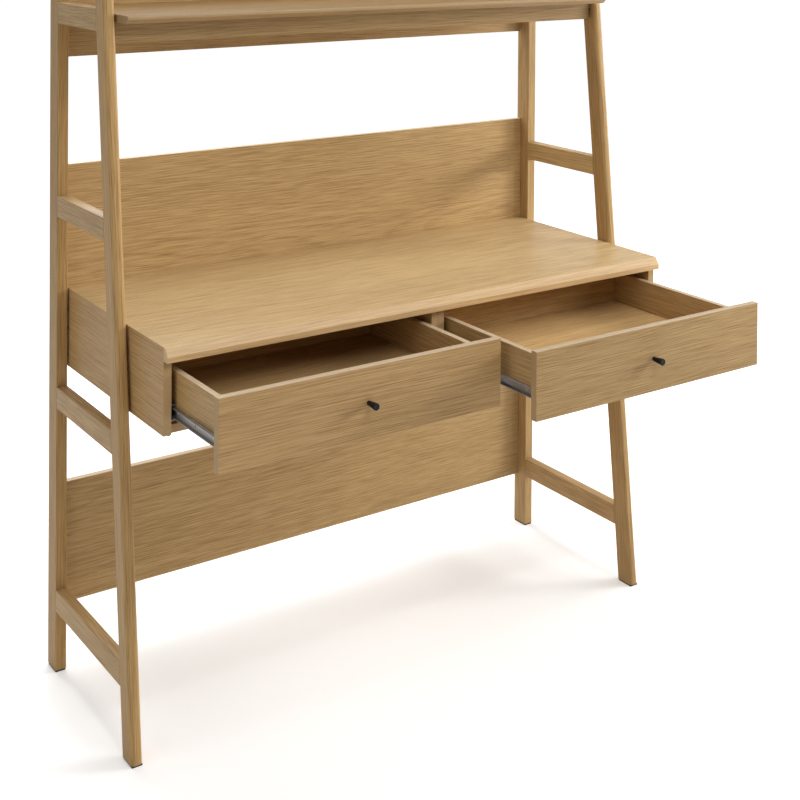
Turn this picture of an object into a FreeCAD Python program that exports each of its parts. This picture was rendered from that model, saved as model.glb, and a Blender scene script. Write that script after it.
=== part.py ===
"""Ladder desk: two ladder frames carry a desk box with two drawers, back panels and shelves.

Units are millimetres. +Z is up, +X is to the sitter's right, and the front faces -Y.
The origin is on the floor, under the middle of the desk as it stands with its drawers pulled
out. A depth is a distance forward from the plane of the frames' rear faces.
"""
import FreeCAD, Part
import math
import os

os.makedirs("parts", exist_ok=True)
Vector = FreeCAD.Vector

# ---------------------------------------------------------------- ladder frames
OVERALL_WIDTH = 1200.0
OVERALL_HEIGHT = 1750.0
FRAME_FOOT_DEPTH = 414.0        # front to back at the floor
FRAME_TOP_DEPTH = 227.0         # front to back at the top
FRAME_THICKNESS = 22.0          # legs and rails, across the desk
REAR_LEG_DEPTH = 42.0
FRONT_LEG_DEPTH = 40.0          # square to the leaning leg
FRONT_LEG_ROUNDING = 8.0
RAIL_HEIGHT = 42.0
FOOT_RAIL_TOP = 163.0
UNDER_DESK_RAIL_TOP = 561.0
OVER_DESK_RAIL_TOP = 936.0
UPPER_SHELF_RAIL_DROP = 58.0    # its top below the top of the legs
FRAME_EASE = 1.0                # broken arris of legs and rails
GLIDE_HEIGHT = 3.0
GLIDE_INSET = 1.2               # glide behind the faces of its leg

# ---------------------------------------------------------------- boards and panels
BOARD = 15.0                    # box, panels, shelves and drawer fronts
EDGE_EASE = 0.6                 # broken arris
FRAME_GAP = 4.0                 # shadow gap between a frame and the box or a shelf
PANEL_GAP = 0.5                 # between a frame and a back panel
BACK_PANEL_HEIGHT = 240.0
LOWER_PANEL_BOTTOM = 120.0

# ---------------------------------------------------------------- desk box
DESK_HEIGHT = 750.0
DESK_DEPTH = 496.0
DESKTOP_THICKNESS = 24.0
DESKTOP_CHAMFER_HEIGHT = 14.0
DESKTOP_CHAMFER_DEPTH = 10.0
BOX_HEIGHT = 153.0              # from the top of the desk to the underside of the box
BOTTOM_SETBACK = 8.0            # bottom board behind the side panels' front edges
BASE_CAP_DIAMETER = 5.0
BASE_CAP_HEIGHT = 3.0
BASE_CAP_INSET = 5.0            # cap's centre behind the side panel's front edge

# ---------------------------------------------------------------- shelves
SHELF_DROP = 10.0               # shelf below the top of its rails
SHELF_OVERHANG = 47.0           # nose in front of the front legs
SHELF_TOP_CHAMFER = 3.0
SHELF_UNDERCUT_DEPTH = 10.0
SHELF_UNDERCUT_HEIGHT = 8.0
APRON_INSET = 15.0              # front apron behind the front face of the leg
FRONT_APRON_HEIGHT = 39.0
SHELF_PANEL_DROP = 86.0         # lower edge of a shelf's back panel below the shelf

# ---------------------------------------------------------------- drawers
FRONT_HEIGHT = 124.0
FRONT_TOP_GAP = 6.0             # below the desktop
FRONT_END_REVEAL = 3.0          # short of the box's outer face
FRONT_MIDDLE_GAP = 3.0          # between the two fronts
FRONT_REAR_GAP = 1.0            # between a closed front and the box
DRAWER_BOARD = 12.0             # sides and back
DRAWER_SIDE_HEIGHT = 78.0
DRAWER_SIDE_DROP = 17.0         # sides below the top of the front
DRAWER_BOX_DEPTH = 377.0
DRAWER_BOTTOM_THICKNESS = 3.0
BOTTOM_OVER_SCREWS = 1.0        # drawer bottom above the slide's screws
GROOVE_DEPTH = 6.0
GROOVE_CLEARANCE = 0.3
LEFT_DRAWER_OUT = 184.0         # how far each drawer is pulled out
RIGHT_DRAWER_OUT = 282.0
KNOB_LENGTH = 25.0
KNOB_BASE_DIAMETER = 8.0
KNOB_END_DIAMETER = 13.0
KNOB_RIM = 1.5                  # broken rim at the knob's end
KNOB_SIDES = 36                 # flats round a knob

# ---------------------------------------------------------------- drawer slides
SLIDE_LENGTH = 370.0
SLIDE_TRAVEL = 287.0
SLIDE_SPACE = 10.5              # from the wall of the box to the side of the drawer
SLIDE_SETBACK = 3.0             # behind the front edge of the box
SLIDE_STEEL = 1.2
SLIDE_BEND = 0.9                # rounding of the bends
OUTER_MEMBER_HEIGHT = 27.0
INNER_MEMBER_HEIGHT = 17.0
MEMBER_CLEARANCE = 0.3          # between any two parts of a slide that pass each other
RACEWAY_DEPTH = 0.4
BALLS_IN_A_ROW = 4
CAGE_STEEL = 0.5
CAGE_STOP = 2.5                 # cage short of the members' overlap when fully out
CAGE_BRIDGE = 8.0               # solid ends of the cage's web
FIRST_SLIDE_HOLE = 37.0         # from the front end of a member
SLIDE_HOLE_PITCH = 70.0
SLIDE_HOLE_DIAMETER = 4.6
SLIDE_HOLE_SIDES = 8

# ---------------------------------------------------------------- fasteners
SHANK_SIDES = 6                 # flats on a screw, bolt or dowel and in its hole
HEAD_SIDES = 10                 # flats round a head, cam or cap
HOLE_CLEARANCE = 0.2            # round and beyond every shank
SCREW_DIAMETER = 3.0
SCREW_HEAD_DIAMETER = 6.5
SCREW_HEAD_HEIGHT = 0.7
SCREW_BITE = 9.0
KNOB_SCREW_DIAMETER = 4.0
KNOB_SCREW_HEAD_DIAMETER = 8.0
KNOB_SCREW_HEAD_HEIGHT = 2.4
KNOB_SCREW_BITE = 12.0
BOLT_DIAMETER = 6.0
BOLT_HEAD_DIAMETER = 12.0
BOLT_HEAD_HEIGHT = 3.5
FIRST_BOLT_DROP = 18.0          # below the underside of the desktop
BOLT_PITCH = 36.0
LEG_BITE = 16.0                 # bolts and dowels go this far into a leg
SPACER_DIAMETER = 12.0
CAM_DOWEL_DIAMETER = 6.0
CAM_REACH = 24.0                # end of a board to the centre of its cam
CAM_DIAMETER = 15.0
CAM_HEIGHT = 12.0
CAM_EDGE_MARGIN = 20.0          # outermost cam to the edge of a tall board

# ---------------------------------------------------------------- derived places
LEAN = (FRAME_FOOT_DEPTH - FRAME_TOP_DEPTH) / OVERALL_HEIGHT
UPPER_SHELF_RAIL_TOP = OVERALL_HEIGHT - UPPER_SHELF_RAIL_DROP
LOWER_SHELF_RAIL_TOP = (OVER_DESK_RAIL_TOP + UPPER_SHELF_RAIL_TOP) / 2
FRONT_LEG_RUN = FRONT_LEG_DEPTH * math.hypot(1.0, LEAN)
FRAME_INNER_X = OVERALL_WIDTH / 2 - FRAME_THICKNESS
BOX_HALF = FRAME_INNER_X - FRAME_GAP
PANEL_HALF = FRAME_INNER_X - PANEL_GAP
WALL_X = BOX_HALF - BOARD
DESK_UNDERSIDE = DESK_HEIGHT - DESKTOP_THICKNESS
BOX_BOTTOM = DESK_HEIGHT - BOX_HEIGHT
BOX_FRONT = DESK_DEPTH - BOARD - FRONT_REAR_GAP     # closed fronts are flush with the desktop
FRONT_TOP = DESK_UNDERSIDE - FRONT_TOP_GAP
FRONT_BOTTOM = FRONT_TOP - FRONT_HEIGHT
DRAWER_SIDE_TOP = FRONT_TOP - DRAWER_SIDE_DROP
DRAWER_SIDE_BOTTOM = DRAWER_SIDE_TOP - DRAWER_SIDE_HEIGHT
SLIDE_Z = DRAWER_SIDE_BOTTOM + INNER_MEMBER_HEIGHT / 2
SLIDE_FRONT = BOX_FRONT - SLIDE_SETBACK
DRAWER_BOTTOM_Z = SLIDE_Z + SCREW_DIAMETER / 2 + BOTTOM_OVER_SCREWS
KNOB_Z = (FRONT_TOP + FRONT_BOTTOM) / 2
REAR_Y = (DESK_DEPTH + max(LEFT_DRAWER_OUT, RIGHT_DRAWER_OUT) + KNOB_LENGTH) / 2

RAIL_TOPS = {
    "foot_rail": FOOT_RAIL_TOP,
    "under_desk_rail": UNDER_DESK_RAIL_TOP,
    "over_desk_rail": OVER_DESK_RAIL_TOP,
    "lower_shelf_rail": LOWER_SHELF_RAIL_TOP,
    "upper_shelf_rail": UPPER_SHELF_RAIL_TOP,
}
SHELF_TOPS = {
    "lower_shelf": LOWER_SHELF_RAIL_TOP - SHELF_DROP,
    "upper_shelf": UPPER_SHELF_RAIL_TOP - SHELF_DROP,
}
PANEL_BOTTOMS = {"lower_back_panel": LOWER_PANEL_BOTTOM, "upper_back_panel": DESK_HEIGHT}
DRAWER_OUT = {"left_drawer": LEFT_DRAWER_OUT, "right_drawer": RIGHT_DRAWER_OUT}
SIDES = {"left": -1, "right": 1}
WALLS = {
    ("left_drawer", -1): -WALL_X,
    ("left_drawer", 1): -BOARD,
    ("right_drawer", -1): BOARD,
    ("right_drawer", 1): WALL_X,
}

# Across a slide, from the wall of the box towards the drawer.
CAGE_WEB = SLIDE_STEEL + SCREW_HEAD_HEIGHT + MEMBER_CLEARANCE
INNER_FLANGE_TIP = CAGE_WEB + CAGE_STEEL + MEMBER_CLEARANCE
INNER_WEB = SLIDE_SPACE - SLIDE_STEEL
OUTER_FLANGE_TIP = INNER_WEB - MEMBER_CLEARANCE
BALL_OFFSET = (INNER_FLANGE_TIP + OUTER_FLANGE_TIP) / 2
# Above and below the middle of a slide.
FLANGE_GAP = OUTER_MEMBER_HEIGHT / 2 - SLIDE_STEEL - INNER_MEMBER_HEIGHT / 2
BALL_RISE = INNER_MEMBER_HEIGHT / 2 + FLANGE_GAP / 2
RACEWAY_RADIUS = FLANGE_GAP / 2 + RACEWAY_DEPTH
BALL_RADIUS = RACEWAY_RADIUS - MEMBER_CLEARANCE
CAGE_LENGTH = SLIDE_LENGTH - SLIDE_TRAVEL - 2 * CAGE_STOP


# ---------------------------------------------------------------- shapes that many pieces use
def block(x0, x1, near, far, z0, z1):
    """A plain box that runs forward from depth near to depth far."""
    corner = Vector(min(x0, x1), REAR_Y - far, z0)
    return Part.makeBox(abs(x1 - x0), far - near, z1 - z0, corner)


def eased(shape, size=EDGE_EASE):
    """The same solid with every arris broken."""
    return shape.makeChamfer(size, shape.Edges)


def board(x0, x1, near, far, z0, z1):
    return eased(block(x0, x1, near, far, z0, z1))


def across(points, x0, x1):
    """A prism from x0 to x1 whose section is an outline of (depth, height) points."""
    corners = [Vector(min(x0, x1), REAR_Y - depth, height) for depth, height in points]
    section = Part.Face(Part.makePolygon(corners + corners[:1]))
    return section.extrude(Vector(abs(x1 - x0), 0, 0))


def forward(points, near, far):
    """A prism from depth near to depth far whose section is an outline of (x, height) points."""
    corners = [Vector(x, REAR_Y - far, height) for x, height in points]
    section = Part.Face(Part.makePolygon(corners + corners[:1]))
    return section.extrude(Vector(0, far - near, 0))


def ring(centre, along, diameter, sides):
    """The many-sided outline round a centre, square to a vector."""
    across_x = Vector(0, 0, 1).cross(along)
    first = across_x.normalize() if across_x.Length else Vector(1, 0, 0)
    second = Vector(along).normalize().cross(first)
    corners = []
    for index in range(sides):
        turn = 2 * math.pi * (index + 0.5) / sides
        spoke = first * math.cos(turn) + second * math.sin(turn)
        corners.append(centre + spoke * (diameter / 2))
    return Part.makePolygon(corners + corners[:1])


def many_sided(centre, along, diameter, sides):
    """A bar with flat sides, from the centre of one end along a vector that is square to its ends."""
    return Part.Face(ring(centre, along, diameter, sides)).extrude(along)


def tapered(rings):
    """A solid with flat sides that runs through a row of outlines with as many corners each."""
    faces = [Part.Face(rings[0]), Part.Face(rings[-1])]
    for near, far in zip(rings, rings[1:]):
        for one, other in zip(near.Edges, far.Edges):
            start, end = (vertex.Point for vertex in one.Vertexes)
            far_start, far_end = (vertex.Point for vertex in other.Vertexes)
            faces.append(Part.Face(Part.makePolygon([start, end, far_end, far_start, start])))
    return Part.makeSolid(Part.makeShell(faces))


def rod(x0, x1, depth, height, diameter, sides=SHANK_SIDES):
    """A bar that lies across the desk."""
    start = Vector(min(x0, x1), REAR_Y - depth, height)
    return many_sided(start, Vector(abs(x1 - x0), 0, 0), diameter, sides)


def stud(x, near, far, height, diameter, sides=SHANK_SIDES):
    """A bar that points forward."""
    return many_sided(Vector(x, REAR_Y - near, height), Vector(0, near - far, 0), diameter, sides)


def widened(diameter):
    return diameter + 2 * HOLE_CLEARANCE


def leg_front(height):
    """Depth of the front leg's front face at a height."""
    return FRAME_FOOT_DEPTH - LEAN * height


def save(name, shape):
    shape.exportStep("parts/%s.step" % name)


# ---------------------------------------------------------------- bolts and cam fittings
def bolt_places():
    """(depth, height) of the bolts that hold one side of the desk box on its frame."""
    places = []
    for drop in (FIRST_BOLT_DROP, FIRST_BOLT_DROP + BOLT_PITCH):
        height = DESK_UNDERSIDE - drop
        places.append(((BOARD + REAR_LEG_DEPTH) / 2, height))
        places.append((leg_front(height) - FRONT_LEG_RUN / 2, height))
    return places


def bolt_shanks(side, diameter, extra=0.0):
    start = side * WALL_X
    end = side * (FRAME_INNER_X + LEG_BITE + extra)
    return [rod(start, end, depth, height, diameter) for depth, height in bolt_places()]


def apron_front(shelf):
    """Depth of a front apron's front face."""
    middle = SHELF_TOPS[shelf] - BOARD - FRONT_APRON_HEIGHT / 2
    return leg_front(middle) - APRON_INSET


def shelf_panel_span(shelf):
    """Heights of the lower and upper edges of the back panel of a shelf."""
    low = SHELF_TOPS[shelf] - BOARD - SHELF_PANEL_DROP
    return low, min(low + BACK_PANEL_HEIGHT, OVERALL_HEIGHT)


def cam_boards():
    """Boards held by cam fittings: (half length, depth of the rear face, heights of the cams)."""
    boards = {}
    for shelf, top in SHELF_TOPS.items():
        middle = top - BOARD - FRONT_APRON_HEIGHT / 2
        boards[shelf + "_front_apron"] = (BOX_HALF, apron_front(shelf) - BOARD, [middle])
        boards[shelf + "_back_panel"] = (BOX_HALF, 0.0, [sum(shelf_panel_span(shelf)) / 2])
    for panel, low in PANEL_BOTTOMS.items():
        heights = [low + CAM_EDGE_MARGIN, low + BACK_PANEL_HEIGHT - CAM_EDGE_MARGIN]
        boards[panel] = (PANEL_HALF, 0.0, heights)
    return boards


def cam_shanks(side, diameter, name=None, extra=0.0):
    """Dowels at one end of the cam-fitted boards, or of one of them."""
    shanks = []
    for board_name, (half, rear, heights) in cam_boards().items():
        if name in (None, board_name):
            start = side * (half - CAM_REACH)
            end = side * (FRAME_INNER_X + LEG_BITE + extra)
            depth = rear + BOARD / 2
            shanks += [rod(start, end, depth, height, diameter) for height in heights]
    return shanks


def cam_housings(name, diameter, length):
    """Cylinders let into the rear face of a board, one round each of its cams."""
    half, rear, heights = cam_boards()[name]
    centres = (half - CAM_REACH, CAM_REACH - half)
    return [
        stud(x, rear, rear + length, height, diameter, HEAD_SIDES)
        for x in centres for height in heights]


def fitted_for_cams(plain, name):
    """A board with the holes for its cams and their dowels."""
    holes = cam_housings(name, widened(CAM_DIAMETER), CAM_HEIGHT + HOLE_CLEARANCE)
    for side in SIDES.values():
        holes += cam_shanks(side, widened(CAM_DOWEL_DIAMETER), name)
    return plain.cut(holes)


def cam_discs():
    """Cams, each cut out for the end of its dowel."""
    dowel_room = []
    for side in SIDES.values():
        dowel_room += cam_shanks(side, widened(CAM_DOWEL_DIAMETER))
    discs = []
    for name in cam_boards():
        for disc in cam_housings(name, CAM_DIAMETER, CAM_HEIGHT):
            discs.append(disc.cut(dowel_room))
    return Part.makeCompound(discs)


def cam_dowels():
    dowels = []
    for side in SIDES.values():
        dowels += cam_shanks(side, CAM_DOWEL_DIAMETER)
    return Part.makeCompound(dowels)


def desk_bolts():
    """Bolts with round heads against the insides of the box's side panels."""
    bolts = []
    for side in SIDES.values():
        face = side * WALL_X
        end = side * (WALL_X - BOLT_HEAD_HEIGHT)
        for (depth, height), shank in zip(bolt_places(), bolt_shanks(side, BOLT_DIAMETER)):
            head = rod(end, face, depth, height, BOLT_HEAD_DIAMETER, HEAD_SIDES)
            bolts.append(head.fuse(shank))
    return Part.makeCompound(bolts)


def frame_spacers():
    """Washers that keep the box and the shelves off the frames."""
    spacers = []
    for side in SIDES.values():
        shanks = bolt_shanks(side, widened(BOLT_DIAMETER))
        for name, (half, rear, heights) in cam_boards().items():
            if half == BOX_HALF:
                shanks += cam_shanks(side, widened(CAM_DOWEL_DIAMETER), name)
        for shank in shanks:
            middle = shank.BoundBox.Center
            depth = REAR_Y - middle.y
            washer = rod(side * BOX_HALF, side * FRAME_INNER_X, depth, middle.z, SPACER_DIAMETER)
            spacers.append(washer.cut(shank))
    return Part.makeCompound(spacers)


# ---------------------------------------------------------------- ladder frames
def drilled_leg(leg, side):
    holes = bolt_shanks(side, widened(BOLT_DIAMETER), HOLE_CLEARANCE)
    holes += cam_shanks(side, widened(CAM_DOWEL_DIAMETER), extra=HOLE_CLEARANCE)
    return leg.cut(holes)


def rear_leg(side):
    inner = side * FRAME_INNER_X
    outer = side * OVERALL_WIDTH / 2
    leg = block(inner, outer, 0, REAR_LEG_DEPTH, GLIDE_HEIGHT, OVERALL_HEIGHT)
    return drilled_leg(eased(leg, FRAME_EASE), side)


def rising_edges(leg):
    """The long edges of a leg, foremost first."""
    rising = [edge for edge in leg.Edges if edge.Length > OVERALL_HEIGHT / 2]
    return sorted(rising, key=lambda edge: edge.CenterOfMass.y)


def front_leg(side):
    """The leaning leg, with level ends and both front edges well rounded."""
    outline = []
    for height in (GLIDE_HEIGHT, OVERALL_HEIGHT):
        outline.append((leg_front(height), height))
    for height in (OVERALL_HEIGHT, GLIDE_HEIGHT):
        outline.append((leg_front(height) - FRONT_LEG_RUN, height))
    leg = across(outline, side * FRAME_INNER_X, side * OVERALL_WIDTH / 2)
    leg = leg.makeFillet(FRONT_LEG_ROUNDING, rising_edges(leg)[:2])
    return drilled_leg(leg.makeChamfer(FRAME_EASE, rising_edges(leg)[-2:]), side)


def rail(side, top):
    """A rail between the legs, its front end cut to the lean of the front leg."""
    low = top - RAIL_HEIGHT
    outline = [
        (REAR_LEG_DEPTH, low),
        (REAR_LEG_DEPTH, top),
        (leg_front(top) - FRONT_LEG_RUN, top),
        (leg_front(low) - FRONT_LEG_RUN, low),
    ]
    return eased(across(outline, side * FRAME_INNER_X, side * OVERALL_WIDTH / 2), FRAME_EASE)


def leg_glides():
    """A thin glide under each leg."""
    foot = leg_front(GLIDE_HEIGHT)
    glides = []
    for side in SIDES.values():
        inner = side * (FRAME_INNER_X + GLIDE_INSET)
        outer = side * (OVERALL_WIDTH / 2 - GLIDE_INSET)
        for near, far in ((0, REAR_LEG_DEPTH), (foot - FRONT_LEG_RUN, foot)):
            glides.append(block(inner, outer, near + GLIDE_INSET, far - GLIDE_INSET, 0, GLIDE_HEIGHT))
    return Part.makeCompound(glides)


# ---------------------------------------------------------------- desk box
def desktop():
    """The top: mitred to the side panels, full length in front of them, its front chamfered."""
    outline = [
        (0, DESK_UNDERSIDE),
        (0, DESK_HEIGHT),
        (DESK_DEPTH - DESKTOP_CHAMFER_DEPTH, DESK_HEIGHT),
        (DESK_DEPTH, DESK_HEIGHT - DESKTOP_CHAMFER_HEIGHT),
        (DESK_DEPTH, DESK_UNDERSIDE),
    ]
    waste = []
    for side in SIDES.values():
        mitre = [
            (side * BOX_HALF, DESK_HEIGHT),
            (side * BOX_HALF, DESK_UNDERSIDE),
            (side * WALL_X, DESK_UNDERSIDE),
        ]
        waste.append(forward(mitre, 0, BOX_FRONT))
    return across(outline, -BOX_HALF, BOX_HALF).cut(waste)


def box_side(side):
    """A side panel, mitred to the desktop at its top."""
    outline = [
        (side * BOX_HALF, BOX_BOTTOM),
        (side * BOX_HALF, DESK_HEIGHT),
        (side * WALL_X, DESK_UNDERSIDE),
        (side * WALL_X, BOX_BOTTOM),
    ]
    drawer = "left_drawer" if side < 0 else "right_drawer"
    holes = bolt_shanks(side, widened(BOLT_DIAMETER))
    holes += cabinet_screw_shanks(drawer, side, widened(SCREW_DIAMETER), HOLE_CLEARANCE)
    return forward(outline, 0, BOX_FRONT).cut(holes)


def divider(side):
    """One of the two boards between the drawers."""
    plain = board(0, side * BOARD, BOARD, BOX_FRONT, BOX_BOTTOM + BOARD, DESK_UNDERSIDE)
    drawer = "left_drawer" if side < 0 else "right_drawer"
    return plain.cut(cabinet_screw_shanks(drawer, -side, widened(SCREW_DIAMETER), HOLE_CLEARANCE))


def box_bottom():
    return board(-WALL_X, WALL_X, 0, BOX_FRONT - BOTTOM_SETBACK, BOX_BOTTOM, BOX_BOTTOM + BOARD)


def box_back():
    return board(-WALL_X, WALL_X, 0, BOARD, BOX_BOTTOM + BOARD, DESK_UNDERSIDE)


def base_caps():
    """Small black caps under the side panels, at their inner faces."""
    caps = []
    for side in SIDES.values():
        x = side * (WALL_X + BASE_CAP_DIAMETER / 2)
        for depth in (BASE_CAP_INSET, BOX_FRONT - BASE_CAP_INSET):
            base = Vector(x, REAR_Y - depth, BOX_BOTTOM - BASE_CAP_HEIGHT)
            caps.append(many_sided(base, Vector(0, 0, BASE_CAP_HEIGHT), BASE_CAP_DIAMETER, HEAD_SIDES))
    return Part.makeCompound(caps)


def back_panel(name):
    """A panel between the rear legs, flush with their rear faces."""
    low = PANEL_BOTTOMS[name]
    plain = board(-PANEL_HALF, PANEL_HALF, 0, BOARD, low, low + BACK_PANEL_HEIGHT)
    return fitted_for_cams(plain, name)


# ---------------------------------------------------------------- shelves
def shelf_board(shelf):
    """A shelf in front of its back panel, with a small chamfer and an undercut at its nose."""
    top = SHELF_TOPS[shelf]
    low = top - BOARD
    nose = leg_front(top) + SHELF_OVERHANG
    outline = [
        (BOARD, low),
        (BOARD, top),
        (nose - SHELF_TOP_CHAMFER, top),
        (nose, top - SHELF_TOP_CHAMFER),
        (nose, low + SHELF_UNDERCUT_HEIGHT),
        (nose - SHELF_UNDERCUT_DEPTH, low),
    ]
    return eased(across(outline, -BOX_HALF, BOX_HALF))


def front_apron(shelf):
    far = apron_front(shelf)
    high = SHELF_TOPS[shelf] - BOARD
    plain = board(-BOX_HALF, BOX_HALF, far - BOARD, far, high - FRONT_APRON_HEIGHT, high)
    return fitted_for_cams(plain, shelf + "_front_apron")


def shelf_back_panel(shelf):
    """A panel behind a shelf, from below its board to above it."""
    low, high = shelf_panel_span(shelf)
    plain = board(-BOX_HALF, BOX_HALF, 0, BOARD, low, high)
    return fitted_for_cams(plain, shelf + "_back_panel")


# ---------------------------------------------------------------- drawer slides
def off_wall(drawer, side, offset):
    """X at an offset from the wall beside a slide, towards the drawer."""
    return WALLS[drawer, side] - side * offset


def cabinet_span():
    return SLIDE_FRONT - SLIDE_LENGTH, SLIDE_FRONT


def drawer_member_span(drawer):
    near, far = cabinet_span()
    return near + DRAWER_OUT[drawer], far + DRAWER_OUT[drawer]


def cage_span(drawer):
    """A cage rolls half as far as its drawer, from the middle of the slide."""
    near, far = cabinet_span()
    middle = (near + far + DRAWER_OUT[drawer]) / 2
    return middle - CAGE_LENGTH / 2, middle + CAGE_LENGTH / 2


def hole_depths(far):
    """Depths of the holes along a member whose front end is at depth far."""
    count = int((SLIDE_LENGTH - FIRST_SLIDE_HOLE) / SLIDE_HOLE_PITCH) + 1
    return [far - FIRST_SLIDE_HOLE - index * SLIDE_HOLE_PITCH for index in range(count)]


def screw_depths(far):
    """Every second hole takes a screw."""
    return hole_depths(far)[::2]


def cabinet_screw_shanks(drawer, side, diameter, extra=0.0):
    start = off_wall(drawer, side, SLIDE_STEEL)
    end = off_wall(drawer, side, -SCREW_BITE - extra)
    depths = screw_depths(cabinet_span()[1])
    return [rod(start, end, depth, SLIDE_Z, diameter) for depth in depths]


def drawer_screw_shanks(drawer, side, diameter, extra=0.0):
    start = off_wall(drawer, side, INNER_WEB)
    end = off_wall(drawer, side, SLIDE_SPACE + SCREW_BITE + extra)
    depths = screw_depths(drawer_member_span(drawer)[1])
    return [rod(start, end, depth, SLIDE_Z, diameter) for depth in depths]


def channel(web_face, tip, height, near, far):
    """A bent steel channel, with its web's back at x = web_face and its flanges' tips at x = tip."""
    inward = math.copysign(SLIDE_STEEL, tip - web_face)
    low = SLIDE_Z - height / 2
    high = SLIDE_Z + height / 2
    solid = block(web_face, tip, near, far, low, high)
    along = [edge for edge in solid.Edges if edge.Length > (far - near) / 2]
    bends = sorted(along, key=lambda edge: abs(edge.CenterOfMass.x - web_face))[:2]
    solid = solid.makeFillet(SLIDE_BEND, bends)
    hollow = block(web_face + inward, tip, near, far, low + SLIDE_STEEL, high - SLIDE_STEEL)
    return solid.cut(hollow)


def raceways(drawer, side, near, far):
    """The two round grooves in which the balls run."""
    grooves = []
    for rise in (-BALL_RISE, BALL_RISE):
        start = Vector(off_wall(drawer, side, BALL_OFFSET), REAR_Y - far, SLIDE_Z + rise)
        grooves.append(Part.makeCylinder(RACEWAY_RADIUS, far - near, start, Vector(0, 1, 0)))
    return grooves


def open_holes(drawer, side, far):
    """The holes of a member that take no screw."""
    start = off_wall(drawer, side, 0)
    end = off_wall(drawer, side, SLIDE_SPACE)
    depths = hole_depths(far)[1::2]
    return [rod(start, end, depth, SLIDE_Z, SLIDE_HOLE_DIAMETER, SLIDE_HOLE_SIDES) for depth in depths]


def cabinet_member(drawer, side):
    near, far = cabinet_span()
    back = off_wall(drawer, side, 0)
    tip = off_wall(drawer, side, OUTER_FLANGE_TIP)
    member = channel(back, tip, OUTER_MEMBER_HEIGHT, near, far)
    cuts = raceways(drawer, side, near, far) + open_holes(drawer, side, far)
    cuts += cabinet_screw_shanks(drawer, side, widened(SCREW_DIAMETER), SLIDE_STEEL)
    return member.cut(cuts)


def drawer_member(drawer, side):
    near, far = drawer_member_span(drawer)
    back = off_wall(drawer, side, SLIDE_SPACE)
    tip = off_wall(drawer, side, INNER_FLANGE_TIP)
    member = channel(back, tip, INNER_MEMBER_HEIGHT, near, far)
    cuts = raceways(drawer, side, near, far) + open_holes(drawer, side, far)
    cuts += drawer_screw_shanks(drawer, side, widened(SCREW_DIAMETER))
    return member.cut(cuts)


def ball(x, depth, level):
    """A ball in faceted form, with its corners on the round of the real one."""
    share = math.sqrt(2) - 1
    half = BALL_RADIUS / math.sqrt(1 + 2 * share * share)
    cube = block(x - half, x + half, depth - half, depth + half, level - half, level + half)
    return cube.makeChamfer(half * (1 - share), cube.Edges)


def ball_cage(drawer, side):
    """A folded steel cage with a row of balls above and below."""
    near, far = cage_span(drawer)
    web0 = off_wall(drawer, side, CAGE_WEB)
    web1 = off_wall(drawer, side, CAGE_WEB + CAGE_STEEL)
    ball_x = off_wall(drawer, side, BALL_OFFSET)
    lip = off_wall(drawer, side, BALL_OFFSET + BALL_RADIUS / 2)
    half = BALL_RISE + CAGE_STEEL / 2
    cage = block(web0, web1, near, far, SLIDE_Z - half, SLIDE_Z + half)
    window = SLIDE_Z - BALL_RISE + CAGE_BRIDGE / 2, SLIDE_Z + BALL_RISE - CAGE_BRIDGE / 2
    cage = cage.cut(block(web0, web1, near + CAGE_BRIDGE, far - CAGE_BRIDGE, *window))
    pitch = (CAGE_LENGTH - 2 * CAGE_BRIDGE) / (BALLS_IN_A_ROW - 1)
    for rise in (-BALL_RISE, BALL_RISE):
        level = SLIDE_Z + rise
        strip = block(web0, lip, near, far, level - CAGE_STEEL / 2, level + CAGE_STEEL / 2)
        cage = cage.fuse(strip)
        for index in range(BALLS_IN_A_ROW):
            depth = near + CAGE_BRIDGE + index * pitch
            cage = cage.fuse(ball(ball_x, depth, level))
    return cage


def cabinet_slide_screws():
    """The screws of all four cabinet members."""
    screws = []
    for drawer, side in WALLS:
        head0 = off_wall(drawer, side, SLIDE_STEEL)
        head1 = off_wall(drawer, side, SLIDE_STEEL + SCREW_HEAD_HEIGHT)
        for shank in cabinet_screw_shanks(drawer, side, SCREW_DIAMETER):
            depth = REAR_Y - shank.BoundBox.Center.y
            screws.append(shank.fuse(rod(head0, head1, depth, SLIDE_Z, SCREW_HEAD_DIAMETER)))
    return Part.makeCompound(screws)


# ---------------------------------------------------------------- drawers
def front_back(drawer):
    """Depth of a drawer front's rear face."""
    return BOX_FRONT + FRONT_REAR_GAP + DRAWER_OUT[drawer]


def front_ends(drawer):
    hand = -1 if drawer == "left_drawer" else 1
    return hand * FRONT_MIDDLE_GAP / 2, hand * (BOX_HALF - FRONT_END_REVEAL)


def knob_x(drawer):
    return sum(front_ends(drawer)) / 2


def knob_screw_shank(drawer, diameter, extra=0.0):
    back = front_back(drawer)
    far = back + BOARD + KNOB_SCREW_BITE + extra
    return stud(knob_x(drawer), back, far, KNOB_Z, diameter)


def side_x(drawer, side, inside):
    """X of a face of a drawer side, at a distance inside its outer face."""
    return off_wall(drawer, side, SLIDE_SPACE + inside)


def bottom_room():
    """Heights between which the grooves for a drawer bottom lie."""
    return DRAWER_BOTTOM_Z - GROOVE_CLEARANCE, DRAWER_BOTTOM_Z + DRAWER_BOTTOM_THICKNESS + GROOVE_CLEARANCE


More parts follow.
